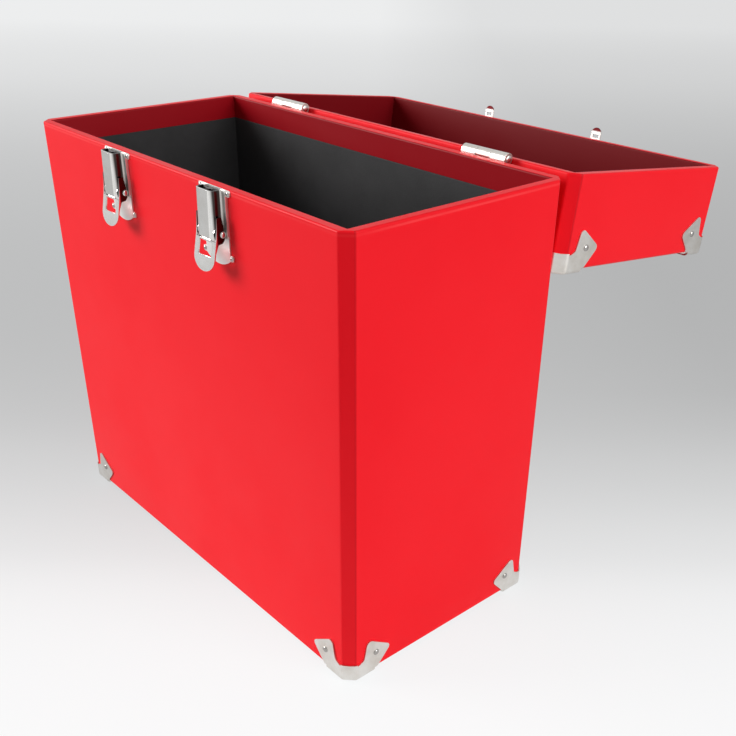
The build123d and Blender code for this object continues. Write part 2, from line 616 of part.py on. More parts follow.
def handle_bracket(x):
    """Base with two upright cheeks round the eye of the bail."""
    base_form = Pos(x, 0, LID_TOP) * RectangleRounded(BRACKET_LENGTH, BRACKET_WIDTH, 5.0)
    bracket = extrude(base_form, BRACKET_SHEET)
    inner = HANDLE_CORE_WIDE / 2 + BRACKET_GAP
    cheek_plane = Plane(origin=(x, 0, LID_TOP), x_dir=(0, 1, 0), z_dir=(1, 0, 0))
    cheek_form = Pos(0, HANDLE_PIVOT / 2) * Rectangle(10.4, HANDLE_PIVOT)
    cheek_form = cheek_form + Pos(0, HANDLE_PIVOT) * Circle(5.2)
    both = extrude(cheek_plane * cheek_form, inner + BRACKET_SHEET, both=True)
    both = both - bar(x - inner, -20, LID_TOP + BRACKET_SHEET, 2 * inner, 40, 40)
    bracket = bracket + both
    hole = Rotation(0, 90, 0) * Cylinder(HANDLE_PIN_RADIUS, 40)
    bracket = bracket - Pos(x, 0, LID_TOP + HANDLE_PIVOT) * hole
    for place in bracket_spots(x):
        bracket = bracket - place * shank_body(BRACKET_RIVET_SHANK, BRACKET_SHEET + 1)
    return bracket


def handle_pin(x):
    """Pivot pin of the handle with a rivet head at each end."""
    seat = HANDLE_CORE_WIDE / 2 + BRACKET_GAP + BRACKET_SHEET
    shaft = Rotation(0, 90, 0) * Cylinder(HANDLE_PIN_RADIUS, 2 * seat)
    head = rivet(3.0, 1.2, 1.0, 0.1)
    right = Plane(origin=(seat, 0, 0), z_dir=(1, 0, 0)).location * head
    left = Plane(origin=(-seat, 0, 0), z_dir=(-1, 0, 0)).location * head
    return Pos(x, 0, LID_TOP + HANDLE_PIVOT) * (shaft + right + left)


def upturned(shape):
    """Carries a tray piece from standing on z = 0 to lying mouth down as the closed lid."""
    return Pos(0, 0, LID_TOP) * (Rotation(180, 0, 0) * shape)


def opened(shape):
    """Carries a closed lid piece to the open lid."""
    return shape.rotate(HINGE_AXIS, -LID_SWING)


def hanging(shape):
    """Carries a handle piece from standing on the closed lid to hanging from the open lid."""
    return shape.rotate(HANDLE_AXIS, LID_SWING - 180).rotate(HINGE_AXIS, -LID_SWING)


def save(name, shape):
    """Writes one node; a list becomes one node of separate solids."""
    if isinstance(shape, list):
        shape = Compound([solid for item in shape for solid in item.solids()])
    export_step(shape, "parts/" + name + ".step")


os.makedirs("parts", exist_ok=True)

corner_names = ["front_right", "front_left", "back_right", "back_left"]
latch_places = {"left": -LATCH_SPACING / 2, "right": LATCH_SPACING / 2}
hinge_places = {"left": -HINGE_SPACING / 2, "right": HINGE_SPACING / 2}
handle_places = {"left": -HANDLE_SPACING / 2, "right": HANDLE_SPACING / 2}

# Rivets of the corners, in tray position
one_rivet = rivet(CORNER_RIVET_HEAD, CORNER_RIVET_RISE, CORNER_RIVET_SHANK, CORNER_SHEET)
tray_rivets = []
for place in corner_spots():
    tray_rivets = tray_rivets + four_corners(place * one_rivet)

# Body tray
leaf_rivet = rivet(LEAF_RIVET_HEAD, LEAF_RIVET_RISE, LEAF_RIVET_SHANK, HINGE_SHEET)
body_leaf_rivets = []
for x in hinge_places.values():
    body_leaf_rivets = body_leaf_rivets + [place * leaf_rivet for place in leaf_spots(x, -1)]
latch_rivet = rivet(LATCH_RIVET_HEAD, LATCH_RIVET_RISE, LATCH_RIVET_SHANK, LATCH_SHEET)
latch_rivets = []
for x in latch_places.values():
    latch_rivets = latch_rivets + [place * latch_rivet for place in latch_rivet_spots(x)]
body = tray(BODY_HEIGHT, BODY_TURN_IN)
for key, piece in body.items():
    name = {"floor": "body_bottom_board", "cover": "body_cover", "lining": "body_lining"}
    save(name.get(key, "body_" + key + "_board"), Pos(0, 0, FOOT_DROP) * piece)

# Body metalwork
pressed = four_corners(corner_piece())
for name, piece in zip(corner_names, pressed):
    save("body_corner_" + name, Pos(0, 0, FOOT_DROP) * piece)
save("body_corner_rivets", [Pos(0, 0, FOOT_DROP) * item for item in tray_rivets])
save("body_hinge_rivets", body_leaf_rivets)
save("latch_rivets", latch_rivets)
plate = latch_plate()
housing = latch_housing()
pin = latch_pin()
lever = latch_lever()
spring = latch_spring()
for name, x in latch_places.items():
    save("latch_" + name + "_plate", Pos(x, 0, 0) * plate)
    save("latch_" + name + "_housing", Pos(x, 0, 0) * housing)
    save("latch_" + name + "_pin", Pos(x, 0, 0) * pin)
    save("latch_" + name + "_lever", Pos(x, 0, 0) * lever)
    coil = mirror(spring, Plane.YZ) if name == "left" else spring
    save("latch_" + name + "_spring", Pos(x, 0, 0) * coil)
for name, x in hinge_places.items():
    save("hinge_" + name + "_body_leaf", hinge_leaf(x, range(0, HINGE_KNUCKLES, 2), -1))
    save("hinge_" + name + "_pin", hinge_pin(x))
    save("hinge_" + name + "_lid_leaf", opened(hinge_leaf(x, range(1, HINGE_KNUCKLES, 2), 1)))

# Lid
lid_leaf_rivets = []
for x in hinge_places.values():
    lid_leaf_rivets = lid_leaf_rivets + [place * leaf_rivet for place in leaf_spots(x, 1)]
strap = keeper()
strap_rivet = rivet(KEEPER_RIVET_HEAD, KEEPER_RIVET_RISE, KEEPER_RIVET_SHANK, KEEPER_SHEET)
keeper_rivets = []
for name, x in latch_places.items():
    save("keeper_" + name, opened(Pos(x, 0, 0) * strap))
    keeper_rivets = keeper_rivets + [place * strap_rivet for place in keeper_spots(x)]
base_rivet = rivet(BRACKET_RIVET_HEAD, BRACKET_RIVET_RISE, BRACKET_RIVET_SHANK, BRACKET_SHEET)
bracket_rivets = []
for name, x in handle_places.items():
    save("handle_bracket_" + name, opened(handle_bracket(x)))
    save("handle_pin_" + name, opened(handle_pin(x)))
    bracket_rivets = bracket_rivets + [place * base_rivet for place in bracket_spots(x)]
lid = tray(LID_HEIGHT, LID_TURN_IN)
for key, piece in lid.items():
    name = {"floor": "lid_top_board", "cover": "lid_cover", "lining": "lid_lining"}
    # turning the tray over about X swaps its front and back
    swap = {"front": "lid_back_board", "back": "lid_front_board"}
    label = swap.get(key, name.get(key, "lid_" + key + "_board"))
    save(label, opened(upturned(piece)))
lid_corner_names = ["back_right", "back_left", "front_right", "front_left"]
for name, piece in zip(lid_corner_names, pressed):
    save("lid_corner_" + name, opened(upturned(piece)))
save("lid_corner_rivets", [opened(upturned(item)) for item in tray_rivets])
save("lid_hinge_rivets", [opened(item) for item in lid_leaf_rivets])
save("keeper_rivets", [opened(item) for item in keeper_rivets])
save("handle_bracket_rivets", [opened(item) for item in bracket_rivets])

# Handle
save("handle_core", hanging(handle_core()))
save("handle_grip", hanging(handle_grip()))
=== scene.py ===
import json
import math
import bmesh
import bpy
import numpy as np
from mathutils import Matrix, Vector


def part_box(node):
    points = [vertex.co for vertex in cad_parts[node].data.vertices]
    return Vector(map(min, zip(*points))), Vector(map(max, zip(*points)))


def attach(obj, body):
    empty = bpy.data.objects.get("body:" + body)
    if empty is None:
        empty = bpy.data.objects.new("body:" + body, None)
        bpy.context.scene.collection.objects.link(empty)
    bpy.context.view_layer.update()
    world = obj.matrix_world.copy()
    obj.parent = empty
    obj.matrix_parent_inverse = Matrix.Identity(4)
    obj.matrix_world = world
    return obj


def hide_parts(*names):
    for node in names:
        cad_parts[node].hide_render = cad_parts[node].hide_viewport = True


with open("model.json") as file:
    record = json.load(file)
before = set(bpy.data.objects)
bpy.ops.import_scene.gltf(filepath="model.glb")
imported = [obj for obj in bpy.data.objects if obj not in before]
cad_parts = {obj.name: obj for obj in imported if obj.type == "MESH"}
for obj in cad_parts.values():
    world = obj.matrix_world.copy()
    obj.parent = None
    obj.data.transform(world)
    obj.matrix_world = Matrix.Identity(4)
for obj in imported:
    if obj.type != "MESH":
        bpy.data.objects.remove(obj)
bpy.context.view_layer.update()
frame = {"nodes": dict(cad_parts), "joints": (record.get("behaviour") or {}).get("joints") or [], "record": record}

bl_info = {
    "name": "Record carrying case",
    "version": (1, 0, 0),
    "blender": (4, 5, 0),
    "location": "3D View > Sidebar > Case",
    "description": "Covering, metalwork, handle and studio for a hinged record carrying case",
    "category": "Object",
}

NODE_BODY = {n: b for b, ns in frame["record"]["behaviour"]["bodies"].items() for n in ns}
JOINTS = {j["name"]: j for j in frame["joints"]}

# outside of the covered body (width, depth), its rim, the cut of its upright corners, in metres,
# and the degrees by which the lid is open as drawn
OUTSIDE = (0.350, 0.1712)
RIM_HEIGHT = 0.2988
CUT_CORNER = 0.0064
LID_OPEN = 187.1
# thickness of a wall with covering on both faces, height at which the painted shade of the inside begins, and the
# width over which a masked tone changes into its neighbour
WALL = 0.0064
INSIDE_FLOOR = 0.006
MASK_EDGE = 0.0006
# bands of a latch in front of the case: where its flange ends and where its front begins, with painted shade
# between them
FLANGE_BAND = (0.0028, 0.0020)
FRONT_BAND = (0.0084, 0.0068)
# keeper's painted dark reflection at the tip, as distances above which it fades, below the rim
KEEPER_TIP = (0.0032, 0.0020)
# shaft radius, head radius and rise of the domed ends of the pins that have heads
LATCH_PIN = (0.0010, 0.0020, 0.0010)
HANDLE_PIN = (0.0020, 0.0030, 0.0012)
HINGE_PIN_RISE = 0.0006
# broken edges of the covering, the lining and the round handle bail
COVER_EDGE = 0.0002
LINING_EDGE = 0.0003
BAIL_EDGE = 0.0009
# latch spring: radius of the coil, wire radii between turns, and how far each leg reaches
COIL_RADIUS = 0.0019
COIL_PITCH = 2.06
LEG_BEHIND_HOOK = (0.00028, 0.009)
LEG_DOWN_PLATE = -0.0055
# grip: how much thinner its ends are, their rounding, and the share of it that has ribs
GRIP_TAPER = 0.0014
GRIP_ROUND = 0.0012
RIBBED_SHARE = 0.8
RIB_FADE = 0.06
# doubles closer than this are merged, and faces flatter than this, in degrees, are joined
MERGE_DISTANCE = 2e-6
FLAT_ANGLE = 0.6


# ---------------------------------------------------------------- sizes and colours

class CaseFinishSettings(bpy.types.PropertyGroup):
    """Colours and surface sizes of the case."""
    cover_red: bpy.props.FloatVectorProperty(
        name="Cover red", description="Colour of the smooth covering", subtype="COLOR",
        size=3, min=0.0, max=1.0, default=(0.93, 0.010, 0.019))
    cover_deep: bpy.props.FloatVectorProperty(
        name="Cover shade", description="Deeper red of the covering's slow tone changes",
        subtype="COLOR", size=3, min=0.0, max=1.0, default=(0.86, 0.006, 0.014))
    # painted shade: a deeper red that stands in for the shade inside the case
    painted_inside_shade: bpy.props.FloatVectorProperty(
        name="Inside red", description="Deeper colour of the covering turned in over the rims",
        subtype="COLOR", size=3, min=0.0, max=1.0, default=(0.30, 0.003, 0.008))
    # painted shade: how deep the lid's inside is painted against the body's
    lid_inside_shade: bpy.props.FloatProperty(
        name="Lid inside", description="Tone of the lid's inside against the body's",
        subtype="FACTOR", min=0.0, max=1.0, default=0.6)
    # painted highlight: paler red along the rims, in place of the gloss on their rounded edges
    painted_rim_highlight: bpy.props.FloatVectorProperty(
        name="Rubbed red", description="Paler colour where the rims are rubbed", subtype="COLOR",
        size=3, min=0.0, max=1.0, default=(0.97, 0.060, 0.066))
    cover_gloss: bpy.props.FloatProperty(
        name="Cover roughness", description="Mean roughness of the covering", subtype="FACTOR",
        min=0.0, max=1.0, default=0.40)
    cover_grain: bpy.props.FloatProperty(
        name="Grain size", description="Width of one pebble of the covering's grain",
        subtype="DISTANCE", unit="LENGTH", min=0.0001, max=0.01, default=0.0007)
    lining_black: bpy.props.FloatVectorProperty(
        name="Lining black", description="Colour of the lining paper", subtype="COLOR",
        size=3, min=0.0, max=1.0, default=(0.008, 0.0075, 0.008))
    nickel: bpy.props.FloatVectorProperty(
        name="Nickel", description="Colour of the plated corners", subtype="COLOR",
        size=3, min=0.0, max=1.0, default=(0.74, 0.715, 0.68))
    bright_nickel: bpy.props.FloatVectorProperty(
        name="Bright nickel", description="Colour of the polished latches", subtype="COLOR",
        size=3, min=0.0, max=1.0, default=(0.84, 0.83, 0.81))
    grip_red: bpy.props.FloatVectorProperty(
        name="Grip red", description="Colour of the moulded grip", subtype="COLOR",
        size=3, min=0.0, max=1.0, default=(0.52, 0.010, 0.014))
    edge_break: bpy.props.FloatProperty(
        name="Edge break", description="Radius that breaks the edges of the sheet metal",
        subtype="DISTANCE", unit="LENGTH", min=0.0, max=0.001, default=0.00018)


class CaseShapeSettings(bpy.types.PropertyGroup):
    """Sizes of the pieces that are worked out here."""
    wire_radius: bpy.props.FloatProperty(
        name="Spring wire", description="Radius of the latch spring's wire", subtype="DISTANCE",
        unit="LENGTH", min=0.0001, max=0.001, default=0.0003)
    spring_turns: bpy.props.IntProperty(
        name="Spring turns", description="Turns of the latch spring's coil",
        min=2, max=12, default=4)
    grip_ribs: bpy.props.IntProperty(
        name="Grip ribs", description="Ribs moulded along the grip", min=0, max=40, default=22)
    rib_depth: bpy.props.FloatProperty(
        name="Rib depth", description="Depth of the grooves between the ribs", subtype="DISTANCE",
        unit="LENGTH", min=0.0, max=0.002, default=0.0005)


class CaseStageSettings(bpy.types.PropertyGroup):
    """Floor, lamps and camera."""
    floor_tone: bpy.props.FloatProperty(
        name="Floor tone", description="How pale the lit paper of the floor is", subtype="FACTOR",
        min=0.0, max=1.0, default=0.68)
    plain_share: bpy.props.FloatProperty(
        name="Plain share",
        description="Share of the floor's look that is plain tone, not lit paper",
        subtype="FACTOR", min=0.0, max=1.0, default=0.86)
    right_shade: bpy.props.FloatProperty(
        name="Right shade", description="Tone of the sweep on its right against its left",
        subtype="FACTOR", min=0.0, max=1.0, default=0.88)
    key_power: bpy.props.FloatProperty(
        name="Key power", description="Power of the main soft lamp", unit="POWER", default=136.0)
    fill_power: bpy.props.FloatProperty(
        name="Fill power", description="Power of the soft lamp on the right", unit="POWER",
        default=29.0)
    room_level: bpy.props.FloatProperty(
        name="Room level", description="Strength of the even room light", min=0.0, default=0.30)
    lens: bpy.props.FloatProperty(
        name="Lens", description="Focal length of the camera", subtype="DISTANCE_CAMERA",
        unit="CAMERA", default=46.47)


# ---------------------------------------------------------------- meshes

def add_piece(name, mesh, body, material, replaced=()):
    """Links a mesh at the origin, gives it its material and lets it ride on a body."""
    piece = bpy.data.objects.new(name, mesh)
    bpy.context.scene.collection.objects.link(piece)
    mesh.materials.clear()
    mesh.materials.append(material)
    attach(piece, body)
    if replaced:
        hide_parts(*replaced)
    return piece


def tube_faces(rings, around):
    """Faces of a closed tube of rings: quads join neighbouring rings, the round direction closes
    on itself, and a fan of triangles to a point after the last ring closes each end."""
    i = np.arange(rings - 1)[:, None] * around
    j = np.arange(around)[None, :]
    k = (j + 1) % around
    quads = np.stack((i + j, i + k, i + around + k, i + around + j), -1).reshape(-1, 4)
    ring = np.arange(around)
    nxt = (ring + 1) % around
    last = (rings - 1) * around
    low = rings * around
    start = np.stack((nxt, ring, np.full(around, low)), -1)
    end = np.stack((last + ring, last + nxt, np.full(around, low + 1)), -1)
    return quads, np.vstack((start, end))


def tubes_mesh(name, tubes, sharp=60.0):
    """One mesh of closed tubes, each an array (rings, round, xyz) whose ends close at the mean of
    the end ring."""
    verts = []
    faces = []
    count = 0
    for points in tubes:
        rings, around = points.shape[:2]
        quads, fans = tube_faces(rings, around)
        verts.append(np.vstack((points.reshape(-1, 3), points[0].mean(0), points[-1].mean(0))))
        faces += (quads + count).tolist() + (fans + count).tolist()
        count += len(verts[-1])
    mesh = bpy.data.meshes.new(name)
    mesh.from_pydata(np.vstack(verts).tolist(), [], faces)
    mesh.validate()
    turn_outwards(mesh)
    mesh.shade_smooth()
    mesh.set_sharp_from_angle(angle=math.radians(sharp))
    return mesh


def turned(profile, origin, axis, around=36):
    """Turned form: each profile point (distance along the axis, radius) is carried round the axis
    as a circle of that radius."""
    axis = np.array(axis, float) / np.linalg.norm(axis)
    side = np.cross(axis, (0.36, 0.48, 0.80))
    side /= np.linalg.norm(side)
    over = np.cross(axis, side)
    turn = np.linspace(0, 2 * np.pi, around, endpoint=False)
    ring = side * np.cos(turn)[:, None] + over * np.sin(turn)[:, None]
    profile = np.array(profile, float)
    return np.array(origin) + profile[:, :1, None] * axis + profile[:, 1:, None] * ring


def dome(head, rise, base, steps=9):
    """Profile of a domed head on a plane at the given base: a short upright edge, then nearly a
    quarter ellipse up to the crown, as pairs (distance along, radius)."""
    turn = np.linspace(0, np.radians(86), steps)
    return np.stack((base + rise * (0.14 + 0.86 * np.sin(turn)), head * np.cos(turn)), -1)


def islands(name):
    """Corner points of each separate solid of a CAD node, one array for each."""
    data = frame["nodes"][name].data
    points = np.empty(len(data.vertices) * 3)
    data.vertices.foreach_get("co", points)
    corners = np.empty(len(data.loops), int)
    data.loops.foreach_get("vertex_index", corners)
    points, same = np.unique(np.round(points.reshape(-1, 3), 6), axis=0, return_inverse=True)
    triangles = same.reshape(-1)[corners].reshape(-1, 3)
    label = np.arange(len(points))
    while True:
        lowest = np.repeat(label[triangles].min(1), 3)
        joined = label.copy()
        np.minimum.at(joined, triangles.reshape(-1), lowest)
        if (joined == label).all():
            break
        label = joined
    return [points[label == k] for k in np.unique(label)]


def rivet_tube(points, middle):
    """Round rivet in the place of an eight-sided one: the axis is the direction in which the
    points spread unlike the other two, the head looks away from the middle of the case, and the
    radii and lengths are read from the points."""
    centre = points.mean(0)
    spread, ways = np.linalg.eigh(np.cov((points - centre).T))
    axis = ways[:, 0] if spread[1] - spread[0] > spread[2] - spread[1] else ways[:, 2]
    if (centre - middle) @ axis < 0:
        axis = -axis
    along = (points - centre) @ axis
    radius = np.linalg.norm(points - centre - along[:, None] * axis, axis=1)
    seat = along[radius > 0.97 * radius.max()].mean()
    head = radius.max()
    shank = radius[along < along.min() + 1e-5].mean()
    profile = [(along.min(), shank), (seat, shank), (seat, head)]
    return turned(np.vstack((profile, dome(head, along.max() - seat, seat))), centre, axis)


def pin_tube(name, shaft, head, rise):
    """Round pin along X with a dome at each end, as long as the CAD pin."""
    low, high = (np.array(corner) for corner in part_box(name))
    centre = (low + high) / 2
    half = (high[0] - low[0]) / 2 - rise
    right = np.vstack(([(half, shaft), (half, head)], dome(head, rise, half)))
    left = right[::-1] * (-1, 1)
    return turned(np.vstack((left, right)), centre, (1, 0, 0))


def add_pin(name, shaft, head, rise):
    """Round pin that stands for the CAD node of that name."""
    mesh = tubes_mesh(name + "_turned", [pin_tube(name, shaft, head, rise)])
    add_piece(name + "_turned", mesh, NODE_BODY[name], finish_for("pin"), (name,))


def turn_outwards(mesh):
    """Turns every face of a closed mesh to look outwards."""
    work = bmesh.new()
    work.from_mesh(mesh)
    bmesh.ops.recalc_face_normals(work, faces=work.faces)
    work.to_mesh(mesh)
    work.free()


def finished_copy(node, material, edge=0.0, segments=2, sharp=35.0):
    """Copy of a CAD node with its doubles merged and its flats made whole, smooth over curves
    and sharp at corners, which a small bevel then breaks; it stands for the node."""
    source = frame["nodes"][node]
    work = bmesh.new()
    work.from_mesh(source.data)
    bmesh.ops.remove_doubles(work, verts=work.verts, dist=MERGE_DISTANCE)
    bmesh.ops.dissolve_limit(work, angle_limit=math.radians(FLAT_ANGLE), verts=work.verts,
                             edges=work.edges)
    mesh = bpy.data.meshes.new(node + "_finish")
    work.to_mesh(mesh)
    work.free()
    mesh.shade_smooth()
    mesh.set_sharp_from_angle(angle=math.radians(sharp))
    piece = add_piece(node + "_finish", mesh, NODE_BODY[node], material, (node,))
    if edge > 0:
        bevel = piece.modifiers.new("edge_break", "BEVEL")
        bevel.width = edge
        bevel.segments = segments
        bevel.limit_method = "ANGLE"
        bevel.angle_limit = math.radians(sharp)
        bevel.use_clamp_overlap = True
    normal = piece.modifiers.new("flat_faces_first", "WEIGHTED_NORMAL")
    normal.keep_sharp = True
    normal.weight = 100


def dress(node, material):
    """Gives a CAD node that keeps its own shape its material."""
    data = frame["nodes"][node].data
    data.materials.clear()
    data.materials.append(material)


def path_frames(path):
    """Two unit vectors across a path at each point: the first is the part of a fixed up vector
    that is square to the path, the second is square to both."""
    step = np.gradient(path, axis=0)
    step /= np.linalg.norm(step, axis=1)[:, None]
    hint = np.array([0.31, 0.52, 0.79])
    first = hint - step * (step @ hint)[:, None]
    first /= np.linalg.norm(first, axis=1)[:, None]
    return first, np.cross(step, first)


def tube_along(name, path, radius, around=10):
    """Round wire: a circle of the radius is carried along the path, square to it at each point."""
    first, second = path_frames(path)
    turn = np.linspace(0, 2 * np.pi, around, endpoint=False)
    ring = (first[:, None] * np.cos(turn)[None, :, None]
            + second[:, None] * np.sin(turn)[None, :, None])
    return tubes_mesh(name, [path[:, None] + radius * ring], 80.0)


# ---------------------------------------------------------------- shared surface effects

def new_group(name, inputs, outputs):
    """Empty shader node group with the named float inputs (name, default) and outputs."""
    group = bpy.data.node_groups.new(name, "ShaderNodeTree")
    for label, value in inputs:
        socket = group.interface.new_socket(name=label, in_out="INPUT",
                                            socket_type="NodeSocketFloat")
        socket.default_value = value
    for label in outputs:
        group.interface.new_socket(name=label, in_out="OUTPUT", socket_type="NodeSocketFloat")
    return group, group.nodes.new("NodeGroupInput"), group.nodes.new("NodeGroupOutput")


def node(tree, kind, **values):
    """New node whose sockets (by name) and settings (with a leading underscore) are set."""
    made = tree.nodes.new(kind)
    for key, value in values.items():
        if key.startswith("_"):
            setattr(made, key[1:], value)
        else:
            made.inputs[key].default_value = value
    return made


def math_node(tree, how, first, second=None, third=None, clamp=False):
    """Math node fed by sockets or numbers."""
    made = tree.nodes.new("ShaderNodeMath")
    made.operation = how
    made.use_clamp = clamp
    for place, value in enumerate((first, second, third)):
        if value is None:
            continue
        if isinstance(value, (int, float)):
            made.inputs[place].default_value = value
        else:
            tree.links.new(value, made.inputs[place])
    return made.outputs[0]


def noise(tree, vector, scale, detail=2.0, rough=0.5):
    """Noise value on a vector; the scale is a number or a socket."""
    made = node(tree, "ShaderNodeTexNoise", Detail=detail, Roughness=rough)
    if isinstance(scale, bpy.types.NodeSocket):
        tree.links.new(scale, made.inputs["Scale"])
    else:
        made.inputs["Scale"].default_value = scale
    tree.links.new(vector, made.inputs["Vector"])
    return made.outputs["Fac"]


def ramp(tree, value, low, high, start=0.0, end=1.0, how="SMOOTHSTEP"):
    """Value carried from the range low to high onto start to end, held at both ends: smoothly,
    or in a straight line where how is LINEAR."""
    made = node(tree, "ShaderNodeMapRange", _interpolation_type=how)
    ends = (("From Min", low), ("From Max", high), ("To Min", start), ("To Max", end))
    for label, limit in ends:
        made.inputs[label].default_value = limit
    tree.links.new(value, made.inputs["Value"])
    return made.outputs["Result"]


def split_axes(tree, vector):
    """The X, Y and Z outputs of a vector."""
    parts = tree.nodes.new("ShaderNodeSeparateXYZ")
    tree.links.new(vector, parts.inputs["Vector"])
    return parts.outputs


def background_rays(tree):
    """1 for camera, glossy and transmission rays, which see the plain background, and else 0."""
    rays = tree.nodes.new("ShaderNodeLightPath")
    seen = math_node(tree, "ADD", rays.outputs["Is Camera Ray"], rays.outputs["Is Glossy Ray"])
    return math_node(tree, "ADD", seen, rays.outputs["Is Transmission Ray"], clamp=True)


def object_coords(tree):
    """Object coordinates, in metres."""
    return tree.nodes.new("ShaderNodeTexCoord").outputs["Object"]


def grain_group():
    """Pebbled grain: a smooth cell pattern plus finer noise; height for a bump and a slow tone."""
    group, into, out = new_group("pebbled_grain", [("Scale", 1400.0), ("Fine", 0.35)],
                                 ["Height", "Tone"])
    place = object_coords(group)
    cells = node(group, "ShaderNodeTexVoronoi", _feature="SMOOTH_F1", Smoothness=0.6)
    group.links.new(place, cells.inputs["Vector"])
    group.links.new(into.outputs["Scale"], cells.inputs["Scale"])
    fine_scale = math_node(group, "MULTIPLY", into.outputs["Scale"], 2.7)
    fine = noise(group, place, fine_scale, 3.0, 0.6)
    part = math_node(group, "MULTIPLY", fine, into.outputs["Fine"])
    group.links.new(math_node(group, "ADD", cells.outputs["Distance"], part), out.inputs["Height"])
    slow = noise(group, place, 9.0, 3.0, 0.55)
    group.links.new(slow, out.inputs["Tone"])
    return group


def handling_group():
    """Marks of handling: broad cloudy smudges and a few thin scuffs, each from 0 to 1."""
    group, into, out = new_group("handling_marks", [("Spread", 14.0), ("Scuffs", 0.5)],
                                 ["Smudge", "Scuff"])
    place = object_coords(group)
    cloud = noise(group, place, into.outputs["Spread"], 4.0, 0.6)
    group.links.new(ramp(group, cloud, 0.38, 0.66, how="LINEAR"), out.inputs["Smudge"])
    stretch = node(group, "ShaderNodeMapping", Rotation=(0.4, 0.9, 0.6), Scale=(900.0, 60.0, 380.0))
    group.links.new(place, stretch.inputs["Vector"])
    lines = noise(group, stretch.outputs["Vector"], 1.0, 2.0, 0.5)
    thin = ramp(group, lines, 0.70, 0.78, how="LINEAR")
    group.links.new(math_node(group, "MULTIPLY", thin, into.outputs["Scuffs"]),
                    out.inputs["Scuff"])
    return group


def streak_group():
    """Rolled sheet streaks: noise stretched along X, with fine pits; a value near 0.5 and a
    height."""
    group, into, out = new_group("sheet_streaks", [("Length", 120.0), ("Fineness", 2600.0)],
                                 ["Streak", "Height"])
    place = object_coords(group)
    parts = split_axes(group, place)
    join = group.nodes.new("ShaderNodeCombineXYZ")
    for axis, spacing in (("X", "Length"), ("Y", "Fineness"), ("Z", "Fineness")):
        stretched = math_node(group, "MULTIPLY", parts[axis], into.outputs[spacing])
        group.links.new(stretched, join.inputs[axis])
    streak = noise(group, join.outputs["Vector"], 1.0, 3.0, 0.55)
    pits = noise(group, place, 1800.0, 3.0, 0.6)
    group.links.new(streak, out.inputs["Streak"])
    group.links.new(math_node(group, "MULTIPLY_ADD", pits, 0.6, streak), out.inputs["Height"])
    return group


def use_group(tree, group, **values):
    """Places a shared group in a material with its own values."""
    made = tree.nodes.new("ShaderNodeGroup")
    made.node_tree = group
    for key, value in values.items():
        made.inputs[key].default_value = value
    return made


def start_material(name, base, metallic, rough):
    """Material with a Principled BSDF; returns it, its tree and the shader."""
    material = bpy.data.materials.new(name)
    material.use_nodes = True
    tree = material.node_tree
    shader = tree.nodes["Principled BSDF"]
    shader.inputs["Base Color"].default_value = (*base, 1.0)
    shader.inputs["Metallic"].default_value = metallic
    shader.inputs["Roughness"].default_value = rough
    return material, tree, shader


def blend_colours(tree, factor, first, second, shader):
    """Base colour that goes from the first colour (or a socket) to the second with a factor."""
    mix = node(tree, "ShaderNodeMix", _data_type="RGBA")
    if isinstance(first, bpy.types.NodeSocket):
        tree.links.new(first, mix.inputs[6])
    else:
        mix.inputs[6].default_value = (*first, 1.0)
    mix.inputs[7].default_value = (*second, 1.0)
    tree.links.new(factor, mix.inputs[0])
    tree.links.new(mix.outputs[2], shader.inputs["Base Color"])
    return mix.outputs[2]


def add_bump(tree, height, distance, strength, shader):
    """Bump of a height (0 to 1) that is the distance deep, in metres."""
    bump = node(tree, "ShaderNodeBump", Strength=strength, Distance=distance)
    tree.links.new(height, bump.inputs["Height"])
    tree.links.new(bump.outputs["Normal"], shader.inputs["Normal"])


def rough_between(tree, factor, low, high, shader):
    """Roughness that goes from low to high with a factor."""
    rough = ramp(tree, factor, 0.0, 1.0, low, high, "LINEAR")
    tree.links.new(rough, shader.inputs["Roughness"])


MATERIALS = {}
GROUPS = {}


def shared(name):
    """The named shared group, built the first time it is asked for."""
    makers = {"grain": grain_group, "handling": handling_group, "streaks": streak_group}
    if name not in GROUPS:
        GROUPS[name] = makers[name]()
    return GROUPS[name]


def closed_coords(tree, body):
    """Object coordinates with the lid swung shut: the body's as they are, the lid's turned back
    about its hinge by the angle at which the lid was drawn open."""
    place = object_coords(tree)
    if body == "body":
        return place
    pivot = Vector(JOINTS["lid_hinge"]["pos_m"])
    turn = math.radians(LID_OPEN)
    shift = pivot - Matrix.Rotation(turn, 3, "X") @ pivot
    back = node(tree, "ShaderNodeMapping", Rotation=(turn, 0.0, 0.0), Location=shift)
    tree.links.new(place, back.inputs["Vector"])
    return back.outputs["Vector"]


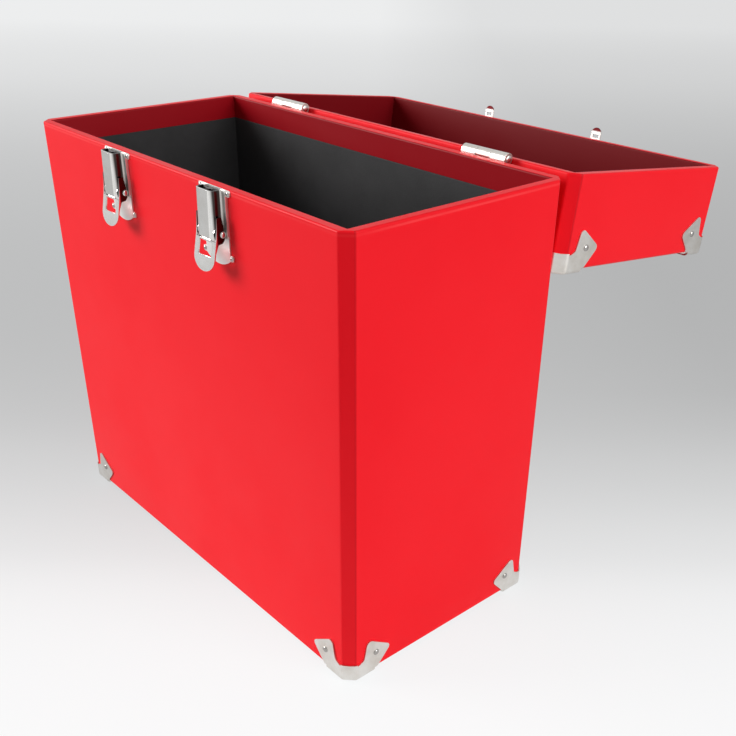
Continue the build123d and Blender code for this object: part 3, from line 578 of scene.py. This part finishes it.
def leatherette(body):
    """Smooth coated covering: fine pebbles, slow tone changes and softer handled patches; painted shade makes it
    deeper where it is turned in, a painted highlight makes it paler along the rim, and a fine dark line runs down
    the cut corners' side edges. Known fault: the mask of the painted inside shade has no upper end, so the middle
    of the lid's top face is painted deep too."""
    look = bpy.context.scene.case_finish
    material, tree, shader = start_material("red_leatherette_" + body, look.cover_red, 0.0,
                                            look.cover_gloss)
    grain = use_group(tree, shared("grain"), Scale=1.0 / look.cover_grain, Fine=0.3)
    marks = use_group(tree, shared("handling"), Spread=9.0, Scuffs=0.35)
    parts = split_axes(tree, closed_coords(tree, body))
    across = math_node(tree, "ABSOLUTE", parts["X"])
    along = math_node(tree, "ABSOLUTE", parts["Y"])
    height = parts["Z"]
    half_x, half_y = OUTSIDE[0] / 2, OUTSIDE[1] / 2
    # painted shade: inside the walls and above the floor the covering is painted deeper
    within_x = ramp(tree, across, half_x - WALL, half_x - WALL + MASK_EDGE, 1, 0)
    within_y = ramp(tree, along, half_y - WALL, half_y - WALL + MASK_EDGE, 1, 0)
    inside = math_node(tree, "MULTIPLY", within_x, within_y)
    above_floor = ramp(tree, height, INSIDE_FLOOR, INSIDE_FLOOR + 0.002)
    inside = math_node(tree, "MULTIPLY", inside, above_floor)
    # painted highlight: a paler band along the rim, broken up by the smudges
    off_rim = math_node(tree, "ABSOLUTE", math_node(tree, "SUBTRACT", height, RIM_HEIGHT))
    highlit = math_node(tree, "MULTIPLY", ramp(tree, off_rim, 0.0002, 0.0011, 1, 0),
                       ramp(tree, marks.outputs["Smudge"], 0.0, 0.8, 0.2, 0.7))
    # a fine dark line along the side edges of the cut corners
    off_corner_line = math_node(tree, "SUBTRACT", along, half_y - CUT_CORNER)
    off_corner_line = math_node(tree, "ABSOLUTE", off_corner_line)
    corner_line = math_node(tree, "MULTIPLY", ramp(tree, off_corner_line, 0.0002, 0.0008, 0.22, 0),
                     ramp(tree, across, half_x - 0.0012, half_x - 0.0008))
    tone = blend_colours(tree, grain.outputs["Tone"], tuple(look.cover_red),
                         tuple(look.cover_deep), shader)
    tone = blend_colours(tree, highlit, tone, tuple(look.painted_rim_highlight), shader)
    tone = blend_colours(tree, corner_line, tone, (0.05, 0.0, 0.001), shader)
    # painted shade of the inside, deeper still in the lid
    depth = 1.0 if body == "body" else look.lid_inside_shade
    blend_colours(tree, inside, tone, tuple(depth * c for c in look.painted_inside_shade), shader)
    rough_between(tree, marks.outputs["Smudge"], look.cover_gloss - 0.04,
                  look.cover_gloss + 0.06, shader)
    add_bump(tree, grain.outputs["Height"], 0.00006, 0.35, shader)
    shader.inputs["Specular IOR Level"].default_value = 0.11
    return material


def lining_paper():
    """Matt black lining paper with a faint fibre."""
    look = bpy.context.scene.case_finish
    material, tree, shader = start_material("black_lining", look.lining_black, 0.0, 0.72)
    grain = use_group(tree, shared("grain"), Scale=900.0, Fine=0.9)
    marks = use_group(tree, shared("handling"), Spread=20.0, Scuffs=0.2)
    grey = tuple(c * 2.2 for c in look.lining_black)
    blend_colours(tree, marks.outputs["Smudge"], tuple(look.lining_black), grey, shader)
    rough_between(tree, grain.outputs["Tone"], 0.62, 0.82, shader)
    add_bump(tree, grain.outputs["Height"], 0.00012, 0.5, shader)
    return material


def fibre_board():
    """Pressed fibre board: brown, flecked and dry."""
    material, tree, shader = start_material("fibre_board", (0.33, 0.21, 0.11), 0.0, 0.8)
    grain = use_group(tree, shared("grain"), Scale=600.0, Fine=1.2)
    marks = use_group(tree, shared("handling"), Spread=60.0, Scuffs=0.0)
    blend_colours(tree, marks.outputs["Smudge"], (0.33, 0.21, 0.11), (0.44, 0.30, 0.17), shader)
    add_bump(tree, grain.outputs["Height"], 0.0002, 0.5, shader)
    return material


def plated(name, base, low, high, depth, wear, streak_length=120.0):
    """Plated sheet: streaks change its gloss, cloudy wear dulls and warms it a little."""
    material, tree, shader = start_material(name, base, 1.0, (low + high) / 2)
    streaks = use_group(tree, shared("streaks"), Length=streak_length, Fineness=2600.0)
    marks = use_group(tree, shared("handling"), Spread=70.0, Scuffs=0.8)
    dull = tuple(c * f for c, f in zip(base, (1 - wear, 1 - wear * 1.15, 1 - wear * 1.35)))
    blend_colours(tree, marks.outputs["Smudge"], tuple(base), dull, shader)
    mean = math_node(tree, "ADD", streaks.outputs["Streak"], marks.outputs["Scuff"])
    rough_between(tree, mean, low, high, shader)
    add_bump(tree, streaks.outputs["Height"], depth, 0.4, shader)
    return material


def recessed_plate(name, base, low, high, satin):
    """Polished plate of a latch: satin where it lies on the case, painted dark as shade between that and the
    polished front. Both bands are taken from the distance in front of the case."""
    material = plated(name, base, low, high, 0.00001, 0.08)
    tree = material.node_tree
    shader = tree.nodes["Principled BSDF"]
    depth = split_axes(tree, object_coords(tree))["Y"]
    front = -OUTSIDE[1] / 2
    flange = ramp(tree, depth, front - FLANGE_BAND[0], front - FLANGE_BAND[1])
    behind = ramp(tree, depth, front - FRONT_BAND[0], front - FRONT_BAND[1])
    # painted shade: the recess between flange and front is painted nearly black
    recess = math_node(tree, "SUBTRACT", behind, flange, clamp=True)
    painted_recess_shade = math_node(tree, "MULTIPLY", recess, 0.97)
    tone = shader.inputs["Base Color"].links[0].from_socket
    blend_colours(tree, painted_recess_shade, tone, (0.03, 0.02, 0.018), shader)
    rough = shader.inputs["Roughness"].links[0].from_socket
    duller = math_node(tree, "MULTIPLY_ADD", flange, satin, rough)
    tree.links.new(duller, shader.inputs["Roughness"])
    return material


def keeper_plate(base):
    """Plated keeper whose tip, beyond the window's sill, is painted dark as a reflection."""
    material = plated("keeper_plate", base, 0.42, 0.55, 0.00001, 0.10)
    tree = material.node_tree
    shader = tree.nodes["Principled BSDF"]
    height = split_axes(tree, closed_coords(tree, "lid"))["Z"]
    # painted reflection: the tip is painted a dark red, for the shaded case mirrored in it
    tip = ramp(tree, height, RIM_HEIGHT - KEEPER_TIP[0], RIM_HEIGHT - KEEPER_TIP[1], 1, 0)
    tone = shader.inputs["Base Color"].links[0].from_socket
    blend_colours(tree, tip, tone, (0.10, 0.012, 0.014), shader)
    return material


def grip_plastic():
    """Moulded grip: even colour, satin gloss, faint mould texture."""
    look = bpy.context.scene.case_finish
    material, tree, shader = start_material("moulded_grip", look.grip_red, 0.0, 0.4)
    grain = use_group(tree, shared("grain"), Scale=1600.0, Fine=0.5)
    marks = use_group(tree, shared("handling"), Spread=40.0, Scuffs=0.6)
    deep = tuple(c * 0.8 for c in look.grip_red)
    blend_colours(tree, marks.outputs["Smudge"], tuple(look.grip_red), deep, shader)
    rough_between(tree, marks.outputs["Smudge"], 0.30, 0.46, shader)
    add_bump(tree, grain.outputs["Height"], 0.00005, 0.4, shader)
    return material


def finish_for(slot):
    """The material of a slot, built the first time it is asked for."""
    if slot in MATERIALS:
        return MATERIALS[slot]
    look = bpy.context.scene.case_finish
    nickel = tuple(look.nickel)
    bright = tuple(look.bright_nickel)
    makers = {
        "leatherette_body": lambda: leatherette("body"),
        "leatherette_lid": lambda: leatherette("lid"),
        "lining": lining_paper,
        "board": fibre_board,
        "grip": grip_plastic,
        "pressed_nickel": lambda: plated("pressed_nickel", nickel, 0.22, 0.40, 0.00003, 0.16),
        "latch_plate": lambda: plated("latch_plate", bright, 0.30, 0.44, 0.00001, 0.08),
        "latch_housing": lambda: recessed_plate("latch_housing", bright, 0.10, 0.22, 0.26),
        "hinge_steel": lambda: plated("hinge_plate", nickel, 0.24, 0.38, 0.00002, 0.14),
        "keeper": lambda: keeper_plate((0.56, 0.55, 0.53)),
        "rivet": lambda: plated("rivet_plate", (0.40, 0.385, 0.37), 0.10, 0.20, 0.00001, 0.10,
                                900.0),
        "pin": lambda: plated("drawn_pin", (0.62, 0.61, 0.60), 0.18, 0.32, 0.00001, 0.10),
        "spring_steel": lambda: plated("spring_wire", (0.45, 0.44, 0.44), 0.22, 0.36, 0.00001,
                                       0.12),
        "bail": lambda: plated("bail_plate", nickel, 0.16, 0.30, 0.00002, 0.12),
    }
    MATERIALS[slot] = makers[slot]()
    return MATERIALS[slot]


# ---------------------------------------------------------------- operators

def nodes_with(test):
    """CAD node names that pass a test, in order; raises an error where there is none."""
    found = sorted(n for n in frame["nodes"] if test(n))
    if not found:
        raise RuntimeError("the frame has none of these pieces")
    return found


class CASE_OT_boards(bpy.types.Operator):
    """Fibre boards of the body and the lid."""
    bl_idname = "case.boards"
    bl_label = "Boards"

    def execute(self, context):
        for name in nodes_with(lambda n: n.endswith("_board")):
            dress(name, finish_for("board"))
        return {"FINISHED"}


class CASE_OT_covering(bpy.types.Operator):
    """Red covering of the body and the lid, turned in over the rims."""
    bl_idname = "case.covering"
    bl_label = "Covering"

    def execute(self, context):
        for name in nodes_with(lambda n: n.endswith("_cover")):
            finished_copy(name, finish_for("leatherette_" + NODE_BODY[name]), COVER_EDGE)
        return {"FINISHED"}


class CASE_OT_lining(bpy.types.Operator):
    """Black lining below the turned-in covering."""
    bl_idname = "case.lining"
    bl_label = "Lining"

    def execute(self, context):
        for name in nodes_with(lambda n: n.endswith("_lining")):
            finished_copy(name, finish_for("lining"), LINING_EDGE)
        return {"FINISHED"}


class CASE_OT_corners(bpy.types.Operator):
    """Pressed three-legged corners."""
    bl_idname = "case.corners"
    bl_label = "Corners"

    def execute(self, context):
        edge = context.scene.case_finish.edge_break
        for name in nodes_with(lambda n: "_corner_" in n and not n.endswith("_rivets")):
            finished_copy(name, finish_for("pressed_nickel"), edge)
        return {"FINISHED"}


class CASE_OT_rivets(bpy.types.Operator):
    """Domed rivets of the corners, hinges, latches, keepers and handle brackets."""
    bl_idname = "case.rivets"
    bl_label = "Rivets"

    def execute(self, context):
        for name in nodes_with(lambda n: n.endswith("_rivets")):
            body = NODE_BODY[name]
            low, high = (np.array(corner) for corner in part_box(body + "_cover"))
            tubes = [rivet_tube(points, (low + high) / 2) for points in islands(name)]
            mesh = tubes_mesh(name + "_domes", tubes)
            add_piece(name + "_domes", mesh, body, finish_for("rivet"), (name,))
        return {"FINISHED"}


class CASE_OT_hinges(bpy.types.Operator):
    """Rolled hinge leaves and their pins."""
    bl_idname = "case.hinges"
    bl_label = "Hinges"

    def execute(self, context):
        edge = context.scene.case_finish.edge_break
        for name in nodes_with(lambda n: n.endswith("_leaf")):
            finished_copy(name, finish_for("hinge_steel"), edge)
        for name in nodes_with(lambda n: n.startswith("hinge_") and n.endswith("_pin")):
            low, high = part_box(name)
            radius = (high[2] - low[2]) / 2
            add_pin(name, radius, radius, HINGE_PIN_RISE)
        return {"FINISHED"}


class CASE_OT_latches(bpy.types.Operator):
    """Latch plates, housings, levers and pivot pins."""
    bl_idname = "case.latches"
    bl_label = "Latches"

    def execute(self, context):
        edge = context.scene.case_finish.edge_break
        finishes = {"plate": "latch_plate", "housing": "latch_housing", "lever": "latch_housing"}
        for kind, finish in finishes.items():
            for name in nodes_with(lambda n: n.startswith("latch_") and n.endswith("_" + kind)):
                finished_copy(name, finish_for(finish), edge)
        for name in nodes_with(lambda n: n.startswith("latch_") and n.endswith("_pin")):
            add_pin(name, *LATCH_PIN)
        return {"FINISHED"}


class CASE_OT_springs(bpy.types.Operator):
    """Torsion springs of the latches: a helix round the pivot with one leg down the plate and one
    leg up behind the hook, as one wire."""
    bl_idname = "case.springs"
    bl_label = "Springs"

    def execute(self, context):
        shape = context.scene.case_shape
        for side, sign in (("left", -1.0), ("right", 1.0)):
            low, high = (np.array(c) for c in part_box("latch_%s_spring" % side))
            pivot = np.array(JOINTS["latch_%s_hinge" % side]["pos_m"])
            turns = shape.spring_turns
            wire = shape.wire_radius
            t = np.linspace(0, 2 * np.pi * turns, 28 * turns)
            start = abs(low[0] - pivot[0]) if sign > 0 else abs(high[0] - pivot[0])
            across = start + wire + COIL_PITCH * wire * t / (2 * np.pi)
            coil = np.stack((across, COIL_RADIUS * np.cos(t), COIL_RADIUS * np.sin(t)), -1)
            k = np.linspace(1, 0, 12)[:, None]
            up_end = np.array([across[0], *LEG_BEHIND_HOOK])
            leg_up = coil[0] + (up_end - coil[0]) * k
            down_end = np.array([across[-1], COIL_RADIUS, LEG_DOWN_PLATE])
            leg_down = coil[-1] + (down_end - coil[-1]) * k[::-1]
            path = np.vstack((leg_up[:-1], coil, leg_down[1:]))
            path[:, 0] *= sign
            mesh = tube_along("latch_%s_spring_wire" % side, path + pivot, wire)
            add_piece("latch_%s_spring_wire" % side, mesh, "latch_" + side,
                      finish_for("spring_steel"), ("latch_%s_spring" % side,))
        return {"FINISHED"}


class CASE_OT_keepers(bpy.types.Operator):
    """Cranked keepers on the lid."""
    bl_idname = "case.keepers"
    bl_label = "Keepers"

    def execute(self, context):
        edge = context.scene.case_finish.edge_break
        for name in nodes_with(lambda n: n in ("keeper_left", "keeper_right")):
            finished_copy(name, finish_for("keeper"), edge)
        return {"FINISHED"}


class CASE_OT_handle(bpy.types.Operator):
    """Handle: brackets, pins, bail and a ribbed grip."""
    bl_idname = "case.handle"
    bl_label = "Handle"

    def execute(self, context):
        edge = context.scene.case_finish.edge_break
        brackets = nodes_with(
            lambda n: n.startswith("handle_bracket_") and not n.endswith("rivets"))
        for name in brackets:
            finished_copy(name, finish_for("latch_plate"), edge)
        for name in nodes_with(lambda n: n.startswith("handle_pin_")):
            add_pin(name, *HANDLE_PIN)
        finished_copy("handle_core", finish_for("bail"), BAIL_EDGE, 4, 30.0)
        mesh = tubes_mesh("handle_grip_moulded", [grip_tube(context.scene.case_shape)])
        add_piece("handle_grip_moulded", mesh, "handle", finish_for("grip"),
                  ("handle_grip",))
        return {"FINISHED"}


def grip_tube(shape):
    """Grip turned about X: the radius swells as a parabola from the ends to the middle, dips
    between ribs by one minus the root of a raised cosine, which fades out towards the ends, and
    rounds off at each end as a quarter circle."""
    low, high = (np.array(corner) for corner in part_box("handle_grip"))
    centre = (low + high) / 2
    half = (high[0] - low[0]) / 2
    middle = (high[2] - low[2]) / 2
    end = middle - GRIP_TAPER
    bend = GRIP_ROUND
    along = np.linspace(-(half - bend), half - bend, 401)
    radius = end + (middle - end) * (1 - (along / half) ** 2)
    fade = np.clip((RIBBED_SHARE * half - np.abs(along)) / (RIB_FADE * half), 0, 1)
    place = along / (2 * RIBBED_SHARE * half) + 0.5
    wave = 0.5 - 0.5 * np.cos(2 * np.pi * shape.grip_ribs * place)
    radius = radius - shape.rib_depth * fade * (1 - np.sqrt(wave))
    turn = np.linspace(np.radians(4), np.pi / 2, 7)
    edge = radius[0] - bend
    cap = np.stack((half - bend + bend * np.cos(turn), edge + bend * np.sin(turn)), -1)
    right = cap[::-1][1:]
    left = cap[:-1] * (-1, 1)
    flat = [(half - 1e-6, 0.6 * edge)]
    flat_left = [(-half + 1e-6, 0.6 * edge)]
    profile = np.vstack((flat_left, left, np.stack((along, radius), -1), right, flat))
    return turned(profile, centre, (1, 0, 0), 64)


class CASE_OT_stage(bpy.types.Operator):
    """Floor that sweeps up into a backdrop, soft lamps, even room light and the camera."""
    bl_idname = "case.stage"
    bl_label = "Stage"

    def execute(self, context):
        stage = context.scene.case_stage
        make_floor(stage)
        make_lamps(stage)
        make_world(stage)
        make_camera(stage)
        context.scene.view_settings.view_transform = "Standard"
        return {"FINISHED"}


# heading of the camera from the front of the case, its tilt down and its roll
AZIMUTH = math.radians(48.38)
TILT = math.radians(30.721)
ROLL = math.radians(0.716)
CAMERA_PLACE = (0.52872, -0.37714, 0.44468)
CAMERA_SHIFT = (-0.01284, 0.12418)
# brightness of the plain wall round the stage
WALL_TONE = 0.80
# sweep: near end, start of its bend, radius of the bend, top and half width, in metres
SWEEP_NEAR, SWEEP_BEND, BEND_RADIUS, SWEEP_TOP, SWEEP_HALF = -5.0, 3.4, 1.2, 3.5, 8
# a little less red and more blue than plain grey
PAPER_TINT = (("Red", 0.992), ("Green", 1.0), ("Blue", 1.005))
# lamps: name, place, point looked at and side of the square, in metres
KEY_LAMP = ("key_lamp", (-2.45, -2.35, 1.35), (0, 0, 0.18), 1.8)
SIDE_LAMP = ("side_lamp", (1.88, 0.35, 0.90), (0, 0, 0.15), 1.2)


def make_floor(stage):
    """Floor and backdrop as one sheet: flat to a bend, then a quarter circle, then upright,
    square to the camera's heading. Its profile is carried sideways."""
    flat = np.linspace(SWEEP_NEAR, SWEEP_BEND, 40)
    turn = np.linspace(0, np.pi / 2, 16)[1:]
    rise = np.linspace(BEND_RADIUS, SWEEP_TOP, 8)[1:]
    along = np.concatenate((flat, SWEEP_BEND + BEND_RADIUS * np.sin(turn),
                            np.full(len(rise), SWEEP_BEND + BEND_RADIUS)))
    height = np.concatenate((np.zeros(len(flat)), BEND_RADIUS * (1 - np.cos(turn)), rise))
    side = np.linspace(-SWEEP_HALF, SWEEP_HALF, 40)
    forward = np.array([-math.sin(AZIMUTH), math.cos(AZIMUTH), 0.0])
    right = np.array([math.cos(AZIMUTH), math.sin(AZIMUTH), 0.0])
    points = (along[:, None, None] * forward + height[:, None, None] * np.array([0, 0, 1.0])
              + side[None, :, None] * right)
    rows, columns = points.shape[:2]
    i = np.arange(rows - 1)[:, None] * columns
    j = np.arange(columns - 1)[None, :]
    quads = np.stack((i + j, i + j + 1, i + columns + j + 1, i + columns + j), -1).reshape(-1, 4)
    mesh = bpy.data.meshes.new("studio_sweep")
    mesh.from_pydata(points.reshape(-1, 3).tolist(), [], quads.tolist())
    mesh.shade_smooth()
    sweep = bpy.data.objects.new("studio_sweep", mesh)
    bpy.context.scene.collection.objects.link(sweep)
    mesh.materials.append(sweep_paper(stage))


# distance ahead of the case in metres against the painted light and shade of the sweep there
SWEEP_TONES = ((-0.34, 1.00), (-0.20, 1.00), (-0.13, 0.97), (-0.03, 0.83), (0.09, 0.70),
               (0.26, 0.59), (0.50, 0.56), (1.06, 0.60), (1.58, 0.69), (2.20, 0.80), (2.70, 0.85),
               (3.50, 0.94))


def sweep_paper(stage):
    """Sweep of grey paper with painted light and shade: paler near the camera and far away and darker to the
    right. What the camera, metal and glass see is part plain tone and part lit paper, so it keeps shadows."""
    material, tree, shader = start_material("sweep_paper", (0.9, 0.9, 0.9), 0.0, 0.8)
    heading = node(tree, "ShaderNodeMapping", Rotation=(0.0, 0.0, -AZIMUTH))
    tree.links.new(object_coords(tree), heading.inputs["Vector"])
    parts = split_axes(tree, heading.outputs["Vector"])
    curve = tree.nodes.new("ShaderNodeFloatCurve")
    near, far = SWEEP_TONES[0][0], SWEEP_TONES[-1][0]
    # the square root spreads the near part of the sweep, where the tone changes fastest
    spread = math_node(tree, "SQRT", ramp(tree, parts["Y"], near, far, how="LINEAR"))
    line = curve.mapping.curves[0]
    spots = [(math.sqrt((ahead - near) / (far - near)), tone) for ahead, tone in SWEEP_TONES]
    line.points[0].location = spots[0]
    line.points[1].location = spots[-1]
    for spot in spots[1:-1]:
        line.points.new(*spot)
    curve.mapping.update()
    tree.links.new(spread, curve.inputs["Value"])
    across = ramp(tree, parts["X"], 0.05, 0.45, 1.0, stage.right_shade, "LINEAR")
    beyond = ramp(tree, parts["Y"], 0.0, 0.25, how="LINEAR")
    side = math_node(tree, "SUBTRACT", across, 1.0)
    shade = math_node(tree, "MULTIPLY_ADD", side, beyond, 1.0)
    tone = math_node(tree, "MULTIPLY", curve.outputs["Value"], shade)
    # painted shade: behind the camera the paper is made darker, so it gives back little light and the front keeps
    # its own colour
    lit = ramp(tree, parts["Y"], -0.60, -0.34, 0.1 * stage.floor_tone, stage.floor_tone)
    paper = math_node(tree, "MULTIPLY", tone, lit)
    grey = tree.nodes.new("ShaderNodeCombineColor")
    plain = tree.nodes.new("ShaderNodeCombineColor")
    for channel, tint in PAPER_TINT:
        tree.links.new(math_node(tree, "MULTIPLY", paper, tint), grey.inputs[channel])
        tree.links.new(math_node(tree, "MULTIPLY", tone, tint), plain.inputs[channel])
    tree.links.new(grey.outputs["Color"], shader.inputs["Base Color"])
    shader.inputs["Specular IOR Level"].default_value = 0.0
    glow = tree.nodes.new("ShaderNodeEmission")
    glow.inputs["Strength"].default_value = 1.0
    tree.links.new(plain.outputs["Color"], glow.inputs["Color"])
    share = math_node(tree, "MULTIPLY", background_rays(tree), stage.plain_share)
    mix = tree.nodes.new("ShaderNodeMixShader")
    tree.links.new(share, mix.inputs["Fac"])
    tree.links.new(shader.outputs["BSDF"], mix.inputs[1])
    tree.links.new(glow.outputs["Emission"], mix.inputs[2])
    tree.links.new(mix.outputs["Shader"], tree.nodes["Material Output"].inputs["Surface"])
    return material


def lamp(name, place, aim, size, power):
    """Soft square lamp that looks at a point."""
    data = bpy.data.lights.new(name, "AREA")
    data.shape = "RECTANGLE"
    data.size = size
    data.size_y = size
    data.energy = power
    item = bpy.data.objects.new(name, data)
    bpy.context.scene.collection.objects.link(item)
    item.location = place
    item.rotation_mode = "QUATERNION"
    item.rotation_quaternion = (Vector(aim) - Vector(place)).to_track_quat("-Z", "Y")


def make_lamps(stage):
    """Two soft lamps, high on the left in front and on the right behind, so that each long face
    of the case is lit from its own side and the cut corner between them stays deeper."""
    lamp(*KEY_LAMP, stage.key_power)
    lamp(*SIDE_LAMP, stage.fill_power)


def make_world(stage):
    """Even room light that fades below the level of the floor. The camera, metal and glass see a
    pale wall in its place."""
    world = bpy.data.worlds.new("studio_room")
    world.use_nodes = True
    tree = world.node_tree
    back = tree.nodes["Background"]
    way = tree.nodes.new("ShaderNodeTexCoord")
    height = split_axes(tree, way.outputs["Generated"])["Z"]
    level = ramp(tree, height, -0.05, 0.25, 0.03 * stage.room_level, stage.room_level)
    wall = math_node(tree, "SUBTRACT", WALL_TONE, level)
    strength = math_node(tree, "MULTIPLY_ADD", wall, background_rays(tree), level)
    tree.links.new(strength, back.inputs["Strength"])
    back.inputs["Color"].default_value = (1.0, 1.0, 1.0, 1.0)
    bpy.context.scene.world = world


def make_camera(stage):
    """Camera above the right front corner, level apart from a slight roll."""
    data = bpy.data.cameras.new("studio_camera")
    data.sensor_width = 36.0
    data.lens = stage.lens
    data.shift_x, data.shift_y = CAMERA_SHIFT
    data.clip_start = 0.01
    data.clip_end = 50.0
    camera = bpy.data.objects.new("studio_camera", data)
    bpy.context.scene.collection.objects.link(camera)
    look = Vector((-math.sin(AZIMUTH) * math.cos(TILT), math.cos(AZIMUTH) * math.cos(TILT),
                   -math.sin(TILT)))
    right = look.cross(Vector((0, 0, 1))).normalized()
    up = right.cross(look)
    rolled = right * math.cos(ROLL) + up * math.sin(ROLL)
    over = up * math.cos(ROLL) - right * math.sin(ROLL)
    rotation = Matrix((rolled, over, -look)).transposed().to_4x4()
    camera.matrix_world = Matrix.Translation(CAMERA_PLACE) @ rotation
    bpy.context.scene.camera = camera


class CASE_PT_panel(bpy.types.Panel):
    """Lists the case's settings and operators."""
    bl_idname = "CASE_PT_panel"
    bl_label = "Record carrying case"
    bl_space_type = "VIEW_3D"
    bl_region_type = "UI"
    bl_category = "Case"

    def draw(self, context):
        layout = self.layout
        scene = context.scene
        for settings in (scene.case_finish, scene.case_shape, scene.case_stage):
            box = layout.box()
            for name in settings.__annotations__:
                box.prop(settings, name)
        for operator in OPERATORS:
            layout.operator(operator.bl_idname)


OPERATORS = (CASE_OT_boards, CASE_OT_covering, CASE_OT_lining, CASE_OT_corners, CASE_OT_rivets,
             CASE_OT_hinges, CASE_OT_latches, CASE_OT_springs, CASE_OT_keepers, CASE_OT_handle,
             CASE_OT_stage)
GROUPS_OF_SETTINGS = (("case_finish", CaseFinishSettings), ("case_shape", CaseShapeSettings),
                      ("case_stage", CaseStageSettings))


def register():
    """Registers the settings, operators and panel."""
    for name, group in GROUPS_OF_SETTINGS:
        bpy.utils.register_class(group)
        setattr(bpy.types.Scene, name, bpy.props.PointerProperty(type=group))
    for item in OPERATORS + (CASE_PT_panel,):
        bpy.utils.register_class(item)


def unregister():
    """Takes away what register added."""
    for item in reversed(OPERATORS + (CASE_PT_panel,)):
        bpy.utils.unregister_class(item)
    for name, group in reversed(GROUPS_OF_SETTINGS):
        delattr(bpy.types.Scene, name)
        bpy.utils.unregister_class(group)


def main():
    register()
    for operator in OPERATORS:
        group, name = operator.bl_idname.split(".")
        getattr(getattr(bpy.ops, group), name)()


if __name__ == "__main__":
    main()
